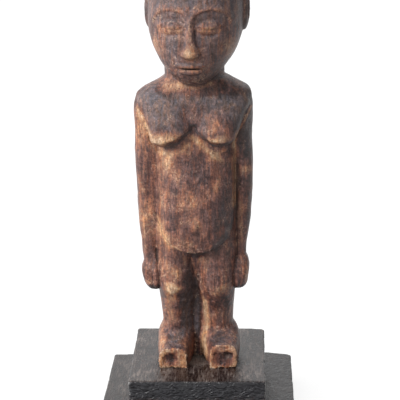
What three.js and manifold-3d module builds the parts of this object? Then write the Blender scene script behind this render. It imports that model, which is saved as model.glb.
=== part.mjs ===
// A standing female figure carved from one piece of wood, fixed on a stepped plinth of two painted boards.
// Millimetres, +Z up. The figure looks along -Y, and the origin is the middle of the plinth's underside.

import * as THREE from 'three';
import { mergeVertices } from 'three/addons/utils/BufferGeometryUtils.js';
import Module from 'manifold-3d';

// Plinth: two hand-cut boards, a little out of square. Each corner is [x, y, rounding], seen from above
const slabHeight = 20;
const blockHeight = 30;
const plinthHeight = slabHeight + blockHeight;
const edgeBevel = 0.8;
const slabFront = [[-70.3, -71.5, 1.5], [68.7, -71.5, 1.5]];
const slabBack = [[69.4, 69.6, 4], [50, 73.4, 6], [-68.6, 68.4, 1.5]];
const blockFront = [[-48.1, -48, 1.5], [48, -48, 1.5]];
const blockBack = [[48, 49.2, 3], [-48.1, 49.2, 1.5]];

// Heights on the figure, above its soles
const ankleTop = 24;
const handTip = 52;
const kneeHeight = 57;
const wristHeight = 78;
const bellyFoot = 85;
const bellyTurn = 112;
const breastFoot = 163;
const armpitHeight = 168;
const chinHeight = 205;
const neckBase = 210;
const figureHeight = 290;

// Half-widths on the figure
const ankleHalf = 12;
const hipHalf = 28;
const waistHalf = 27.4;
const ribHalf = 29;
const shoulderHalf = 41;
const neckHalf = 21;
const headHalf = 32.5;

// Places and depths that more than one feature uses
const farOut = 100;
const headDepth = 34.2;
const toeForward = 25;
const earHeight = 254;
const fingerGaps = [-6.2, -1.8, 2.6];

// The lip under the breasts, seen from the front as [x, height], and how much it drops towards the back
const breastLip = [
  [-34, 165],
  [-27, 162.6],
  [-20, 161.2],
  [-14, 163],
  [-8, 167.2],
  [-3, 172],
  [1.5, 172.2],
  [6, 168],
  [12, 163.8],
  [18, 161.9],
  [23, 162.8],
  [34, 169],
];
const lipFront = -20;
const lipDrop = -0.65;

// The whole figure leans to its right as it rises, and its head turns the same way
const leanPerHeight = -0.0055;
const leanFrom = 12;
const feetOffset = -0.3;
const headTurn = -5;
const headOffset = 2.4;

// The face is set out on the usual rules of proportion, from the height of the head alone
const headHeight = figureHeight - chinHeight;
const eyeLine = chinHeight + headHeight / 2;
const browLine = eyeLine + headHeight / 9;
const noseBase = chinHeight + headHeight / 4;
const mouthLine = noseBase - (noseBase - chinHeight) / 3;
const eyeWidth = (2 * headHalf) / 5;
const faceFront = -headDepth;
const cheekTurn = 20;
const eyeFront = faceFront * 0.943;

const carvedWood = new THREE.MeshStandardMaterial({ color: 0x5a3a2a, roughness: 0.62, metalness: 0 });
const blockPaint = new THREE.MeshStandardMaterial({ color: 0x1d1b1d, roughness: 0.42, metalness: 0 });
const slabPaint = new THREE.MeshStandardMaterial({ color: 0x232022, roughness: 0.45, metalness: 0 });

const wasm = await Module();
wasm.setup();

// A smooth curve through one column of the stations, read at any height.
function readStations(stations, column, height) {
  const last = stations.length - 1;
  const rise = (a, b) => stations[b][0] - stations[a][0];
  const slope = (a, b) => (stations[b][column] - stations[a][column]) / rise(a, b);
  const tangent = (i) => {
    if (i === 0) return slope(0, 1);
    if (i === last) return slope(last - 1, last);
    return (slope(i - 1, i) + slope(i, i + 1)) / 2;
  };
  let i = 0;
  while (i < last - 1 && height > stations[i + 1][0]) i += 1;
  const t = (height - stations[i][0]) / rise(i, i + 1);
  const fromLow = (1 + 2 * t) * (1 - t) ** 2;
  const bend = tangent(i) * t * (1 - t) ** 2 - tangent(i + 1) * t * t * (1 - t);
  return fromLow * stations[i][column] + (1 - fromLow) * stations[i + 1][column] + rise(i, i + 1) * bend;
}

// The rings at one end, as height and share of the full section: a quarter ellipse, or a flat cap.
function endRings(height, round, direction, count) {
  if (round === 0) return [[height, 0], [height, 1]];
  return Array.from({ length: count }, (_, i) => {
    const angle = (Math.PI / 2) * (i / count);
    return [height + direction * round * (1 - Math.cos(angle)), Math.sin(angle)];
  });
}

// A closed limb of changing section. Each station is [height, x, y, half-width, half-depth].
function limb(options) {
  const { stations, squareness = 2, bottomRound = 0, topRound = 0 } = options;
  const { sides = 18, step = 9, endCount = 4 } = options;
  const low = stations[0][0] + bottomRound;
  const high = stations[stations.length - 1][0] - topRound;
  const spans = high > low ? Math.max(1, Math.round((high - low) / step)) : 0;
  const spacing = spans ? (high - low) / spans : 0;
  const middle = Array.from({ length: spans + 1 }, (_, i) => [low + i * spacing, 1]);
  const rings = [
    ...endRings(stations[0][0], bottomRound, 1, endCount),
    ...middle.slice(bottomRound ? 0 : 1, topRound ? undefined : -1),
    ...endRings(stations[stations.length - 1][0], topRound, -1, endCount).reverse(),
  ].reverse();

  const geometry = new THREE.SphereGeometry(1, sides, rings.length - 1);
  const place = geometry.getAttribute('position');
  const squared = (value) => -Math.sign(value) * Math.abs(value) ** (2 / squareness);
  rings.forEach(([height, share], row) => {
    const [x, y, halfWidth, halfDepth] = [1, 2, 3, 4].map((i) => readStations(stations, i, height));
    for (let i = 0; i <= sides; i += 1) {
      const angle = (2 * Math.PI * (i % sides)) / sides;
      const across = x + halfWidth * share * squared(Math.cos(angle));
      const along = y + halfDepth * share * squared(Math.sin(angle));
      place.setXYZ(row * (sides + 1) + i, across, along, height);
    }
  });
  return geometry;
}

// An ellipsoid, or with more squareness a pillow, of the given half-sizes.
function pebble(halfSizes, squareness = 2, sides = 14, endCount = 4) {
  const [halfX, halfY, halfZ] = halfSizes;
  const stations = [[-halfZ, 0, 0, halfX, halfY], [halfZ, 0, 0, halfX, halfY]];
  return limb({ stations, squareness, bottomRound: halfZ, topRound: halfZ, sides, endCount });
}

function placed(geometry, [x, y, z], [turnX, turnY, turnZ] = [0, 0, 0]) {
  const [a, b, c] = [turnX, turnY, turnZ].map(THREE.MathUtils.degToRad);
  const turned = geometry.applyMatrix4(new THREE.Matrix4().makeRotationFromEuler(new THREE.Euler(a, b, c)));
  return turned.translate(x, y, z);
}

function solidOf(geometry) {
  const bare = geometry.clone();
  bare.deleteAttribute('normal');
  bare.deleteAttribute('uv');
  const welded = mergeVertices(bare, 1e-4);
  return new wasm.Manifold(new wasm.Mesh({
    numProp: 3,
    vertProperties: new Float32Array(welded.getAttribute('position').array),
    triVerts: new Uint32Array(welded.index.array),
  }));
}

function geometryOf(solid) {
  const mesh = solid.getMesh();
  const geometry = new THREE.BufferGeometry();
  geometry.setAttribute('position', new THREE.BufferAttribute(new Float32Array(mesh.vertProperties), 3));
  geometry.setIndex(new THREE.BufferAttribute(new Uint32Array(mesh.triVerts), 1));
  geometry.computeVertexNormals();
  return geometry;
}

const joined = (solids) => solids.reduce((whole, next) => whole.add(next));
const cutBy = (solid, cutters) => cutters.reduce((left, next) => left.subtract(next), solid);
const bothSides = (make) => [make(-1), make(1)];

// Trunk: a barrel from the foot of the belly to the neck, whose lower end is cut to a U over the thighs.
function trunk() {
  const barrel = solidOf(limb({
    stations: [
      [bellyFoot - 1, 0, -4.5, waistHalf + 0.4, 17.6],
      [98, 0, -5.2, waistHalf + 0.2, 19.4],
      [bellyTurn, 0, -5, waistHalf, 20],
      [130, 0, -3.4, waistHalf + 0.2, 19.6],
      [150, 0, -1.6, ribHalf - 0.6, 18.2],
      [armpitHeight, 0, -0.6, ribHalf, 18],
      [181, 0, -0.2, 34, 18.6],
      [189, 0, 0.4, shoulderHalf - 2.8, 18.4],
      [195, 0, 0.6, shoulderHalf - 1.4, 17.8],
      [199.5, 1.4, 0.7, 36, 17.4],
      [205, 1.5, 1, 25.9, 16.9],
      [neckBase - 1, 0.6, 1, neckHalf - 1, 16.6],
      [217, 0.4, 1, neckHalf - 2, 14],
    ],
    squareness: 2.4,
    sides: 26,
    step: 6,
  }));
  const apron = new THREE.Shape();
  apron.absellipse(0, bellyTurn, waistHalf + 0.2, bellyTurn - bellyFoot, Math.PI, 2 * Math.PI, false);
  apron.lineTo(farOut, armpitHeight);
  apron.lineTo(farOut, figureHeight);
  apron.lineTo(-farOut, figureHeight);
  apron.lineTo(-farOut, armpitHeight);
  const through = { depth: farOut, bevelEnabled: false, curveSegments: 9 };
  const cutter = new THREE.ExtrudeGeometry(apron, through);
  return barrel.intersect(solidOf(placed(cutter, [0, farOut / 2, 0], [90, 0, 0])));
}

// Hips and buttocks, which carry on from the thighs behind the belly.
function hips() {
  const pelvis = solidOf(limb({
    stations: [
      [78, 0, 0.4, hipHalf, 15.6],
      [92, 0, 0, hipHalf + 0.2, 16.8],
      [106, 0, -1, waistHalf + 0.2, 16.2],
      [118, 0, -2.2, waistHalf - 0.6, 15.4],
      [132, 0, -3, waistHalf - 2, 14.5],
    ],
    squareness: 2.6,
    bottomRound: 7,
    topRound: 6,
    sides: 22,
    step: 12,
    endCount: 3,
  }));
  const buttock = (side) => solidOf(placed(pebble([14, 14, 17], 2.1, 16, 4), [side * 12.8, 8, 90]));
  return joined([pelvis, ...bothSides(buttock)]);
}

// Chest plate: it spreads from the breasts to the shoulders.
function chestPlate() {
  return solidOf(limb({
    stations: [
      [174.5, 0, -8.6, 28, 12.4],
      [183, 0, -7.2, 34.4, 13.6],
      [191, 0, -5.2, 38.4, 14],
      [198, 0, -2.2, 35, 13.6],
      [204, 0, 0, 26, 13],
    ],
    squareness: 3.1,
    bottomRound: 4,
    topRound: 3,
    sides: 26,
    step: 8,
    endCount: 2,
  }));
}

// Breasts: lobes that swell out of the chest, her right one a little lower and fuller.
function breast(side) {
  const foot = side < 0 ? breastFoot - 2.6 : breastFoot - 1.8;
  const lowest = side < 0 ? -18 : 16.4;
  return solidOf(limb({
    stations: [
      [foot, lowest, -15.5, 10.8, 11.6],
      [foot + 5, lowest - side * 0.8, -14.9, 12.8, 12.2],
      [foot + 12, side * 15.8, -13, 15.6, 12.6],
      [188, side * 17.5, -8.6, 17, 12],
      [204, side * 16, -3, 14, 11],
    ],
    squareness: 2.4,
    bottomRound: 6.5,
    topRound: 14,
    sides: 18,
    step: 9,
  }));
}

// Chest: the plate and the breasts, cut off below in an undercut lip.
function chest() {
  const under = new THREE.Shape(breastLip.map(([x, height]) => new THREE.Vector2(x, height)));
  under.lineTo(farOut, bellyTurn);
  under.lineTo(-farOut, bellyTurn);
  const cutter = new THREE.ExtrudeGeometry(under, { depth: farOut, bevelEnabled: false });
  const upright = placed(cutter, [0, farOut / 2, 0], [90, 0, 0]);
  const sloped = upright.applyMatrix4(new THREE.Matrix4().makeShear(0, 0, 0, lipDrop, 0, 0));
  const whole = joined([chestPlate(), ...bothSides(breast)]);
  return whole.subtract(solidOf(sloped.translate(0, 0, -lipDrop * lipFront)));
}

const navel = () => solidOf(placed(pebble([3.4, 3, 4.6], 2, 10, 3), [-0.5, -24, 105]));

function spineGroove() {
  return solidOf(limb({
    stations: [
      [116, 0, 14.9, 1.6, 1.6],
      [140, 0, 17.4, 2, 2.4],
      [170, 0, 18.8, 2, 2.4],
      [198, 0, 19.6, 1.6, 1.6],
    ],
    bottomRound: 8,
    topRound: 8,
    sides: 10,
    step: 16,
    endCount: 2,
  }));
}

// Arms: straight and close to the trunk, from a rounded shoulder to the wrist. Her left forearm is thinner.
function arm(side) {
  const rightArm = [
    [wristHeight - 2, -32, -1.5, 5.6, 7],
    [88, -32.6, -0.8, 6.5, 7.8],
    [104, -33.4, 0.5, 7.2, 9],
    [126, -34.1, 1.8, 7.4, 9.8],
    [150, -34.1, 2, 7.9, 10.4],
    [armpitHeight, -33.9, 1.6, 7.9, 11.2],
    [188, -33, 0.8, 8.5, 12.5],
    [201, -30.4, 0.8, 9, 12.8],
  ];
  const leftArm = [
    [wristHeight - 2, 30.9, -1.5, 4.3, 7],
    [88, 31.2, -0.8, 4.7, 7.8],
    [104, 32.2, 0.5, 6.1, 9],
    [126, 32.8, 1.8, 7.1, 9.8],
    [146, 33, 2, 7.5, 10.4],
    [armpitHeight - 2, 32.3, 1.6, 7.6, 11.2],
    [188, 32, 0.8, 8.3, 12.5],
    [201, 30.6, 0.8, 9, 12.8],
  ];
  const stations = side < 0 ? rightArm : leftArm;
  return solidOf(limb({ stations, squareness: 2.3, topRound: 13, sides: 14, step: 14, endCount: 3 }));
}

// Underarm: between arm and trunk the wood is left standing, a little behind the arm.
function underarm(side) {
  const back = side < 0 ? 0 : 1.6;
  return solidOf(limb({
    stations: [
      [80, side * 27, 2, 4, 9.6 - back],
      [104, side * 28, 2, 5, 10.6 - back],
      [150, side * 29, 2, 5.6, 10.8 - back],
      [164, side * 29.6, 0.6, 5.8, 12 - back],
      [182, side * 31.4, 0, 6.4, 13.6 - back],
    ],
    squareness: 4,
    bottomRound: 6,
    sides: 8,
    step: 24,
    endCount: 2,
  }));
}

// Hands: closed mitts pressed to the thighs, with the thumb in front and the fingers cut by short grooves.
function hand(side) {
  const rightHand = [
    [handTip, -30, -2.6, 5.6, 8.4],
    [60, -31.5, -2.6, 6.4, 9.8],
    [68.5, -32.9, -2.2, 6.6, 10],
    [75, -31.7, -1.6, 5.8, 8.4],
    [83, -31.9, -1.2, 5.5, 7],
  ];
  const leftHand = [
    [handTip + 1.4, 28.9, -2.6, 5.6, 8.4],
    [60, 30, -2.6, 6.1, 9.8],
    [70, 31.3, -2.2, 6.2, 10],
    [75.5, 31.2, -1.6, 5.7, 8.8],
    [79, 30.6, -1.4, 4.6, 7.4],
  ];
  const out = side < 0 ? 0.6 : -1.1;
  const mitt = solidOf(limb({
    stations: side < 0 ? rightHand : leftHand,
    squareness: 2.6,
    bottomRound: side < 0 ? 8 : 5,
    sides: 14,
    step: 6,
    endCount: 3,
  }));
  const thumb = solidOf(limb({
    stations: [
      [56, side * 28.6, -10.6, 2.6, 2.6],
      [66, side * 28.9, -10.6, 2.8, 2.8],
      [78, side * 30.2, -7, 2.4, 2.4],
    ],
    bottomRound: 3,
    topRound: 3,
    sides: 8,
    endCount: 2,
  }));
  const grooves = fingerGaps.map((y) => (
    solidOf(placed(pebble([1.7, 0.6, 8], 2, 8, 2), [side * (37.2 + out), y, 57.5], [0, side * 8, 0]))
  ));
  return cutBy(joined([mitt, thumb]), grooves);
}

// Legs: short and thick with a soft knee. They rise beside the belly and meet along a thin web of wood.
function leg(side) {
  return solidOf(limb({
    stations: [
      [14, side * 13.6, 2.5, ankleHalf + 0.3, 12.5],
      [ankleTop, side * 13, 2, ankleHalf + 0.4, 12],
      [36, side * 13, 1.2, ankleHalf + 0.9, 12.4],
      [48, side * 13.2, -1.2, ankleHalf + 1.7, 13.8],
      [kneeHeight, side * 13.5, -3.6, ankleHalf + 2.1, 15.4],
      [68, side * 13.8, -2.8, ankleHalf + 2.4, 16],
      [82, side * 14, -1, ankleHalf + 2.5, 16.4],
      [96, side * 13.8, -1.6, ankleHalf + 2.2, 16.8],
      [112, side * 13, -2.4, ankleHalf + 1.4, 16],
    ],
    squareness: 2.3,
    topRound: 12,
    sides: 18,
    step: 10,
    endCount: 3,
  }));
}

// Valley: a wedge that takes off the inner front edge of both legs.
function valley() {
  return solidOf(limb({
    stations: [
      [-10, 0, -14, 14.8, 12.3],
      [ankleTop, 0, -14, 14.8, 12.3],
      [36, 0, -15.2, 14.8, 12.3],
      [48, 0, -19, 14.8, 12.3],
      [kneeHeight, 0, -23, 14.8, 12.3],
      [68, 0, -22.8, 14.8, 12.3],
      [82, 0, -21.4, 14.8, 12.3],
      [114, 0, -22.4, 14.8, 12.3],
    ],
    squareness: 1,
    sides: 4,
    step: 10,
  }));
}

// Web: the wood left between the legs, from the crotch down to the soles.
function web() {
  return solidOf(limb({
    stations: [
      [-2, 0, 6, 4, 9],
      [20, 0, 4, 3.6, 8.6],
      [40, 0, 2.5, 3.6, 8.6],
      [58, 0, 1, 4, 10.5],
      [84, 0, 0, 5, 13.4],
    ],
    squareness: 2.6,
    sides: 8,
    step: 22,
  }));
}

// Feet: blocks that narrow towards the toes, which are broken off to a flat face with a hollow in it.
function foot(side) {
  const rightFoot = [
    [-17, -14.4, 9.6, 11, 13.4],
    [-8, -15.2, 11.6, 12.8, 14.6],
    [2, -15.9, 11.6, 13.2, 14.4],
    [10, -16.6, 9, 12.3, 13],
    [18, -17.4, 6.2, 10.8, 10.8],
    [toeForward, -17.6, 4.4, 9.9, 10.4],
  ];
  const leftFoot = [
    [-17, 14, 9.6, 11.6, 13.4],
    [-8, 14.6, 11.6, 13.6, 14.6],
    [2, 15.1, 11.8, 14, 14.6],
    [10, 16.1, 9.6, 12.8, 13.4],
    [18, 17.4, 7.4, 10.8, 11.8],
    [toeForward, 17.6, 6, 9.9, 11.8],
  ];
  const block = solidOf(placed(limb({
    stations: side < 0 ? rightFoot : leftFoot,
    squareness: 3.4,
    bottomRound: 7,
    sides: 18,
    step: 8,
    endCount: 3,
  }), [side < 0 ? 0.4 : 0.8, 0, 0], [90, 0, 0]));
  const hollow = side < 0 ? [5.2, 1.8, 4.4] : [7.2, 1.6, 5.2];
  const hollowAt = side < 0 ? [-19.4, -toeForward, 6] : [17.8, -toeForward, 6.8];
  return block.subtract(solidOf(placed(pebble(hollow, 2.4, 12, 3), hollowAt, [0, 14, 0])));
}

function neck() {
  return solidOf(limb({
    stations: [
      [200, 0.4, 1.5, neckHalf - 0.2, 17],
      [214, 0.4, 1, neckHalf - 0.4, 17],
      [236, 0.4, 2, neckHalf - 0.6, 18],
    ],
    squareness: 2.1,
    sides: 20,
    step: 18,
  }));
}

// Head: an egg with its point at the chin.
function skull() {
  return solidOf(limb({
    stations: [
      [chinHeight, 0, -17, headHalf * 0.84, headDepth],
      [mouthLine, 0, -9.5, headHalf * 0.88, headDepth],
      [noseBase + 8, 0, -2.5, headHalf * 0.96, headDepth],
      [eyeLine, 0, 0, headHalf, headDepth],
      [browLine + 10, 0, 1.5, headHalf + 0.2, headDepth],
      [figureHeight, 0, 3, headHalf + 0.2, headDepth],
    ],
    squareness: 2.25,
    bottomRound: headHeight * 0.46,
    topRound: headHeight * 0.43,
    sides: 30,
    step: 7,
    endCount: 7,
  }));
}

// Places a face feature on the curve of the cheek, raised above it or sunk below it.
function onCheek(shape, side, height, raised) {
  const turn = THREE.MathUtils.degToRad(cheekTurn);
  const x = side * (eyeWidth + raised * Math.sin(turn));
  const y = eyeFront - raised * Math.cos(turn);
  return solidOf(placed(shape, [x, y, height], [0, 0, side * cheekTurn]));
}

// The face: arched brows over shallow sockets, closed lids with a slit, a wedge nose and two plain lips.
const brow = (side) => onCheek(pebble([12.2, 3.4, 9], 2.1, 16, 4), side, eyeLine + 1.6, -2.5);
const socket = (side) => onCheek(pebble([11.6, 5, 9], 2.1, 18, 4), side, eyeLine - 0.4, 3);
const eyelid = (side) => onCheek(pebble([eyeWidth / 2, 3.4, 3], 1.8, 14, 3), side, eyeLine - 1, -3);
const eyeSlit = (side) => onCheek(pebble([eyeWidth / 2.2, 1.3, 0.5], 2, 10, 2), side, eyeLine - 1, 0.1);

function nose() {
  const halfNose = eyeWidth / 2;
  return solidOf(limb({
    stations: [
      [noseBase - 1, 0, faceFront - 1.4, halfNose - 0.4, 5.6],
      [noseBase + 3.5, 0, faceFront - 1.4, halfNose, 5.8],
      [noseBase + 11, 0, faceFront - 0.2, halfNose * 0.62, 4.6],
      [eyeLine, 0, faceFront + 1, halfNose * 0.48, 3.4],
      [browLine - 0.6, 0, faceFront + 3.2, halfNose * 0.9, 2.4],
    ],
    squareness: 1.9,
    bottomRound: 3.4,
    topRound: 5,
    sides: 14,
    step: 4,
    endCount: 3,
  }));
}

const lip = (height, halfWidth, fullness) => solidOf(placed(
  pebble([halfWidth, 3.4, fullness], 1.9, 16, 3),
  [0, faceFront - 0.4, height],
));

// Ears: a raised curl round a hollow, set high on the head.
function ear(side) {
  const middle = earHeight;
  const halfLength = (browLine - noseBase) / 2;
  const curl = pebble([4.2, 7.6, halfLength], 2.2, 14, 4);
  const hollow = pebble([3.4, 4.6, halfLength * 0.66], 2, 10, 3);
  const solid = solidOf(placed(curl, [side * (headHalf - 0.4), 5, middle], [-8, 0, 0]));
  return solid.subtract(solidOf(placed(hollow, [side * (headHalf + 4.2), 3.8, middle + 1.6], [-8, 0, 0])));
}

function head() {
  const features = [nose(), lip(mouthLine + 1.7, 10.4, 2.2), lip(mouthLine - 1.9, 9, 2.4)];
  const face = cutBy(joined([skull(), ...bothSides(brow)]), bothSides(socket));
  const whole = joined([face, ...features, ...bothSides(eyelid), ...bothSides(ear)]);
  const carved = cutBy(whole, bothSides(eyeSlit));
  return solidOf(placed(geometryOf(carved), [headOffset, 0, 0], [0, 0, headTurn]));
}

// The whole figure is one piece of wood, cut level at the soles.
function figure() {
  const legs = cutBy(joined(bothSides(leg)), [valley()]);
  const pairs = [arm, underarm, hand, foot].flatMap(bothSides);
  const whole = joined([trunk(), hips(), chest(), navel(), legs, web(), neck(), head(), ...pairs]);
  const underCut = new THREE.BoxGeometry(farOut, farOut, 40).translate(0, 0, -20);
  const geometry = geometryOf(cutBy(whole, [spineGroove(), solidOf(underCut)]));
  const place = geometry.getAttribute('position');
  for (let i = 0; i < place.count; i += 1) {
    const lean = feetOffset + leanPerHeight * Math.max(0, place.getZ(i) - leanFrom);
    place.setX(i, place.getX(i) + lean);
  }
  return geometry;
}

// A board: a bevelled extrusion of its outline, whose corners are worn round.
function board(corners, height) {
  const outline = new THREE.Shape();
  corners.forEach(([x, y, rounding], i) => {
    const [before, after] = [corners.at(i - 1), corners[(i + 1) % corners.length]];
    const corner = new THREE.Vector2(x, y);
    const towards = ([otherX, otherY]) => {
      const step = new THREE.Vector2(otherX - x, otherY - y).setLength(rounding);
      return step.add(corner);
    };
    const start = towards(before);
    const end = towards(after);
    if (i === 0) outline.moveTo(start.x, start.y);
    else outline.lineTo(start.x, start.y);
    outline.quadraticCurveTo(x, y, end.x, end.y);
  });
  outline.closePath();
  const geometry = new THREE.ExtrudeGeometry(outline, {
    depth: height - 2 * edgeBevel,
    bevelThickness: edgeBevel,
    bevelSize: edgeBevel,
    bevelOffset: -edgeBevel,
    bevelSegments: 1,
    curveSegments: 4,
  });
  return geometry.translate(0, 0, edgeBevel);
}

function named(name, geometry, material, height) {
  const mesh = new THREE.Mesh(geometry, material);
  mesh.name = name;
  mesh.position.z = height;
  return mesh;
}

const statue = new THREE.Group();
statue.add(
  named('plinth_slab', board([...slabFront, ...slabBack], slabHeight), slabPaint, 0),
  named('plinth_block', board([...blockFront, ...blockBack], blockHeight), blockPaint, slabHeight),
  named('figure', figure(), carvedWood, plinthHeight),
);

export default statue;
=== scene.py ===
# Carved standing figure on a stepped plinth: the dressed model, its studio and its camera.
# Forms are set out in millimetres. Heights on the figure are above its soles, which stand on the plinth.
import math
import bpy
import numpy as np
from mathutils import Euler, Matrix, Vector


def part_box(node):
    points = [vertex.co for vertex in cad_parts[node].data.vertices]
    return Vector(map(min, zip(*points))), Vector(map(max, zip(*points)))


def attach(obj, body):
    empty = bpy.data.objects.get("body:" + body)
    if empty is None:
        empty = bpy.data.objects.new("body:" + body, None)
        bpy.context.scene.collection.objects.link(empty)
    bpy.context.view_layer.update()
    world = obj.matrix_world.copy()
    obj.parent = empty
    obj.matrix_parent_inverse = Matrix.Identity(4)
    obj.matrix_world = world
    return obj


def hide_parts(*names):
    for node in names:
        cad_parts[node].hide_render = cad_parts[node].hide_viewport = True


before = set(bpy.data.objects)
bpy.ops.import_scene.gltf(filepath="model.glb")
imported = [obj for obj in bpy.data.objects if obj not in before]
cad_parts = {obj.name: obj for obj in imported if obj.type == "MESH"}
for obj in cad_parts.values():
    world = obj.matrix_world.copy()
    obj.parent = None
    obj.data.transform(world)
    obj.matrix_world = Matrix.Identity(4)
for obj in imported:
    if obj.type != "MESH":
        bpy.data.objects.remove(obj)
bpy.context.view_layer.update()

mm = 0.001
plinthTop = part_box("plinth_block")[1].z / mm


# Distances to carved forms

# Smooth values between a table's stations, each a row that starts with its height
def readStations(table, height):
    rise = np.diff(table[:, 0])
    slope = np.diff(table[:, 1:], axis=0) / rise[:, None]
    tangent = np.vstack([slope[:1], (slope[:-1] + slope[1:]) / 2, slope[-1:]])
    i = np.clip(np.searchsorted(table[:, 0], height) - 1, 0, len(rise) - 1)
    t = ((height - table[i, 0]) / rise[i])[:, None]
    fromLow = (1 + 2 * t) * (1 - t) ** 2
    bend = tangent[i] * t * (1 - t) ** 2 - tangent[i + 1] * t * t * (1 - t)
    return (fromLow * table[i, 1:] + (1 - fromLow) * table[i + 1, 1:] + rise[i][:, None] * bend).T


# The smaller of two distances, blended where they are close
def softMin(a, b, soft):
    share = np.clip(0.5 + 0.5 * (b - a) / soft, 0, 1)
    return b + (a - b) * share - soft * share * (1 - share)


# A shape is a distance function, its place, how softly it joins, and the box outside which it is left out
def shapeOf(distance, low, high, at=(0, 0, 0), turn=(0, 0, 0), soft=0.8, cut=False):
    margin = 4
    turned = np.array(Euler([math.radians(v) for v in turn], "ZYX").to_matrix())
    corners = np.array([np.where(corner, high, low) for corner in np.ndindex(2, 2, 2)], float)
    corners = corners @ turned.T + at
    return dict(distance=distance, at=np.array(at, float), turned=turned, soft=soft, cut=cut,
                low=corners.min(axis=0) - margin, high=corners.max(axis=0) + margin)


# A rounded limb of changing section: each station is height, x, y, half-width, half-depth
def limb(stations, squareness=2.0, bottomRound=0.0, topRound=0.0, **place):
    table = np.array(stations, float)
    bottom, top = table[0, 0], table[-1, 0]

    def distance(spots):
        height = spots[:, 2]
        midX, midY, halfX, halfY = readStations(table, np.clip(height, bottom, top))
        across, along = spots[:, 0] - midX, spots[:, 1] - midY
        share = (np.abs(across) / halfX) ** squareness + (np.abs(along) / halfY) ** squareness
        share = np.maximum(share, 1e-9) ** (1 / squareness)
        rise = np.zeros(len(spots))
        cap = np.zeros(len(spots))
        if bottomRound:
            rise = np.maximum(bottom + bottomRound - height, 0)
            cap = rise / bottomRound
        if topRound:
            over = np.maximum(height - top + topRound, 0)
            rise = np.maximum(rise, over)
            cap = np.maximum(cap, over / topRound)
        share = np.maximum(np.sqrt(share ** 2 + cap ** 2), 1e-6)
        side = np.sqrt(across ** 2 + along ** 2 + rise ** 2) * (1 - 1 / share)
        if not bottomRound:
            side = np.maximum(side, bottom - height)
        if not topRound:
            side = np.maximum(side, height - top)
        return side

    reach = np.abs(table[:, 1:3]) + table[:, 3:5]
    low = [-reach[:, 0].max(), (table[:, 2] - table[:, 4]).min(), bottom]
    high = [reach[:, 0].max(), (table[:, 2] + table[:, 4]).max(), top]
    if table[:, 1].min() > 0:
        low[0] = (table[:, 1] - table[:, 3]).min()
    if table[:, 1].max() < 0:
        high[0] = (table[:, 1] + table[:, 3]).max()
    return shapeOf(distance, low, high, **place)


# A rounded lump
def pebble(halfSizes, at, squareness=2.0, **place):
    halfX, halfY, halfZ = halfSizes
    stations = [[-halfZ, 0, 0, halfX, halfY], [halfZ, 0, 0, halfX, halfY]]
    return limb(stations, squareness, halfZ, halfZ, at=at, **place)


# Large odd numbers that spread a cell's three numbers and the seed, and stir them in two rounds
cellSpread = (73856093, 19349663, 83492791)
seedSpread = 2971215073
stirring = ((13, 1274126177), (15, 2246822519))


# Random numbers that belong to whole-number cells, so that the same cell is always the same
def cellRandom(cell, seed):
    number = np.full(len(cell), seed * seedSpread)
    for k in range(3):
        number = number ^ cell[:, k] * cellSpread[k]
    for shift, factor in stirring:
        number = ((number ^ (number >> shift)) * factor) & 0xffffffff
    return ((number ^ (number >> 16)) & 0xffffff) / 0xffffff


# A smooth random height between -1 and 1, with lumps of the given size
def lumps(spots, size, seed):
    scaled = spots / np.array(size, float)
    cell = np.floor(scaled).astype(np.int64)
    t = scaled - cell
    t = t * t * (3 - 2 * t)
    total = np.zeros(len(spots))
    for corner in np.ndindex(2, 2, 2):
        weight = np.prod(np.where(np.array(corner), t, 1 - t), axis=1)
        total += weight * cellRandom(cell + np.array(corner), seed)
    return 2 * total - 1


# Knife cuts: every cell is a shallow scoop, so ridges are left between the cuts
def knifeCuts(spots, size, seed):
    cutReach = 0.7
    scaled = spots / np.array(size, float)
    cell = np.floor(scaled).astype(np.int64)
    nearest = np.full(len(spots), np.inf)
    for step in np.ndindex(3, 3, 3):
        other = cell + np.array(step) - 1
        middle = other + np.stack([cellRandom(other, seed + k) for k in range(3)], axis=1)
        nearest = np.minimum(nearest, ((scaled - middle) ** 2).sum(axis=1))
    return np.clip(1 - nearest / cutReach, 0, 1)


# Joins the shapes in turn, and takes away those that are cuts
def fieldOf(shapes, spots, far=12.0):
    field = np.full(len(spots), far)
    for shape in shapes:
        near = np.all((spots > shape["low"]) & (spots < shape["high"]), axis=1)
        if not near.any():
            continue
        local = (spots[near] - shape["at"]) @ shape["turned"]
        distance = shape["distance"](local)
        if shape["cut"]:
            field[near] = -softMin(-field[near], distance, shape["soft"])
        else:
            field[near] = softMin(field[near], distance, shape["soft"])
    return field


# Skin over a field of distances

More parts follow.
